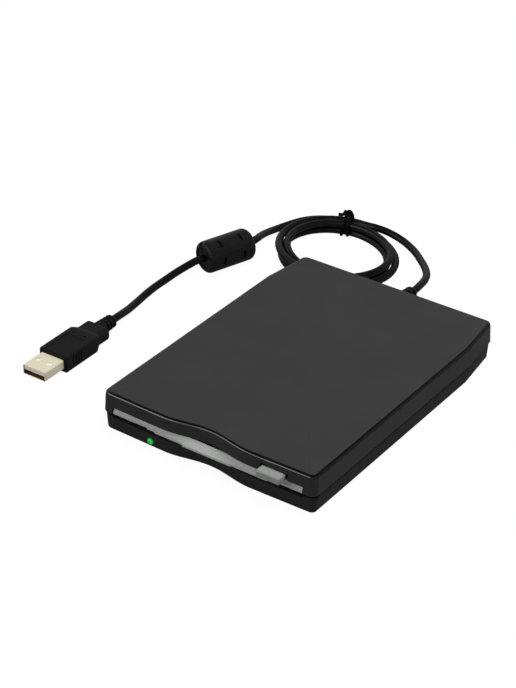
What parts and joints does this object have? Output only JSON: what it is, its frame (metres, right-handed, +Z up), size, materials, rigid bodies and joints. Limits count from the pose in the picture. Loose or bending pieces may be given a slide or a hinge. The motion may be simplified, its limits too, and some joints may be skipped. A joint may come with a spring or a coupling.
{
  "type": "external floppy disk drive",
  "caption": "Slim external 3.5-inch floppy disk drive with a sprung dust door, eject button, disk mechanism and a coiled fixed cord ending in a USB-A plug.",
  "frame": {"origin": "middle of the drive without its cord, on the surface that its feet stand on", "axes": "+Z up, -Y out of the front with the disk slot, +X to the right as seen from the front"},
  "size_m": [0.1572, 0.2108, 0.0184],
  "materials": {
    "case": "fine matt texture",
    "case_low": "fine matt texture",
    "screw": "zinc plated",
    "feet": "matt",
    "grey": "satin",
    "spring": "bright wire",
    "lens": "clear tinted",
    "led": "moulded",
    "sheet": "zinc plated sheet",
    "board": "solder mask",
    "chip": "moulded",
    "copper": "wound copper",
    "bronze": "sintered",
    "bright": "ground",
    "ferrite": "sintered",
    "cream": "moulded",
    "carriage": "glass filled",
    "head": "polished",
    "flex": "film",
    "plunger": "moulded",
    "ribbon": "film",
    "wires": "insulation",
    "cord": "satin sheath",
    "moulding": "satin moulding",
    "shell": "nickel plated",
    "tongue": "moulded",
    "contact": "gold plated",
    "tie": "coated wire"
  },
  "bodies": {
    "case": {"top_cover": "case", "bottom_cover": "case_low", "case_screws": "screw", "rubber_feet": "feet", "door_spring": "spring", "led_lens": "lens", "led": "led", "drive_chassis": "sheet", "drive_shield": "sheet", "drive_screws": "screw", "main_board": "board", "board_parts": "chip", "motor_stator": "copper", "spindle_bearing": "bronze", "slide_springs": "spring", "head_flex": "flex", "guide_rod": "bright", "rod_clamps": "sheet", "stepper_motor": "bright", "screw_bracket": "sheet", "track_sensor": "chip", "switch_bodies": "chip", "usb_board": "board", "usb_parts": "chip", "usb_screws": "screw", "ribbon_cable": "ribbon", "ribbon_sockets": "cream", "inner_wires": "wires", "strain_relief": "cord", "cord_lead": "cord", "cord_coil": "cord", "cord_run": "cord", "ferrite_housing": "moulding", "ferrite_core": "ferrite", "cord_tail": "cord", "plug_body": "moulding", "plug_shell": "shell", "plug_tongue": "tongue", "plug_contacts": "contact", "twist_tie": "tie"},
    "slide": {"slide_plate": "sheet", "eject_button": "grey"},
    "holder": {"disk_holder": "sheet", "lever_pivot": "bright", "lever_spring": "spring"},
    "lever": {"shutter_lever": "cream"},
    "door": {"dust_door": "grey"},
    "rotor": {"spindle_rotor": "bright", "rotor_magnet": "ferrite", "spindle_hub": "bright"},
    "carriage": {"head_carriage": "carriage", "lower_head": "head", "arm_pin": "bright", "arm_spring": "spring"},
    "arm": {"upper_arm": "carriage", "upper_head": "head"},
    "screw": {"lead_screw": "bright"},
    "write_switch": {"write_protect_pin": "plunger"},
    "density_switch": {"density_pin": "plunger"},
    "disk_switch": {"disk_in_pin": "plunger"}
  },
  "joints": [
    {"name": "eject_slide", "type": "slide", "parent": "case", "child": "slide", "axis": [0, -1, 0], "range_m": [0, 0.005], "deforming": ["slide_springs"]},
    {"name": "holder_drop", "type": "slide", "parent": "case", "child": "holder", "axis": [0, 0, -1], "range_m": [0, 0.002]},
    {"name": "shutter_lever", "type": "hinge", "parent": "holder", "child": "lever", "pos_m": [-0.04, 0.00485, 0.0133], "axis": [0, 0, 1], "range_deg": [0, 55], "stiffness_Nm_per_rad": 0.0002, "springref_deg": -17.19, "deforming": ["lever_spring"]},
    {"name": "dust_door", "type": "hinge", "parent": "case", "child": "door", "pos_m": [0, -0.06705, 0.0117], "axis": [1, 0, 0], "range_deg": [0, 125], "stiffness_Nm_per_rad": 0.0001, "springref_deg": -28.65, "deforming": ["door_spring"]},
    {"name": "spindle", "type": "hinge", "parent": "case", "child": "rotor", "pos_m": [0, -0.01715, 0.005], "axis": [0, 0, 1], "continuous": true},
    {"name": "head_carriage", "type": "slide", "parent": "case", "child": "carriage", "axis": [0, -1, 0], "range_m": [0, 0.0148], "deforming": ["head_flex"]},
    {"name": "head_arm", "type": "hinge", "parent": "carriage", "child": "arm", "pos_m": [0, 0.04865, 0.0128], "axis": [1, 0, 0], "range_deg": [0, 9.6], "deforming": ["arm_spring"]},
    {"name": "lead_screw", "type": "hinge", "parent": "case", "child": "screw", "pos_m": [0.024, 0.04185, 0.0064], "axis": [0, 1, 0], "range_deg": [0, 1776.5]},
    {"name": "write_protect_pin", "type": "slide", "parent": "case", "child": "write_switch", "axis": [0, 0, -1], "range_m": [0, 0.0012], "stiffness_N_per_m": 40, "springref_m": -0.001},
    {"name": "density_pin", "type": "slide", "parent": "case", "child": "density_switch", "axis": [0, 0, -1], "range_m": [0, 0.0012], "stiffness_N_per_m": 40, "springref_m": -0.001},
    {"name": "disk_in_pin", "type": "slide", "parent": "case", "child": "disk_switch", "axis": [0, 0, -1], "range_m": [0, 0.0012], "stiffness_N_per_m": 40, "springref_m": -0.001}
  ],
  "couplings": [
    {"joint": "holder_drop", "follows": "eject_slide", "ratio": 0.4},
    {"joint": "head_arm", "follows": "eject_slide", "rad_per_m": 33.16},
    {"joint": "lead_screw", "follows": "head_carriage", "rad_per_m": 2094.4}
  ]
}
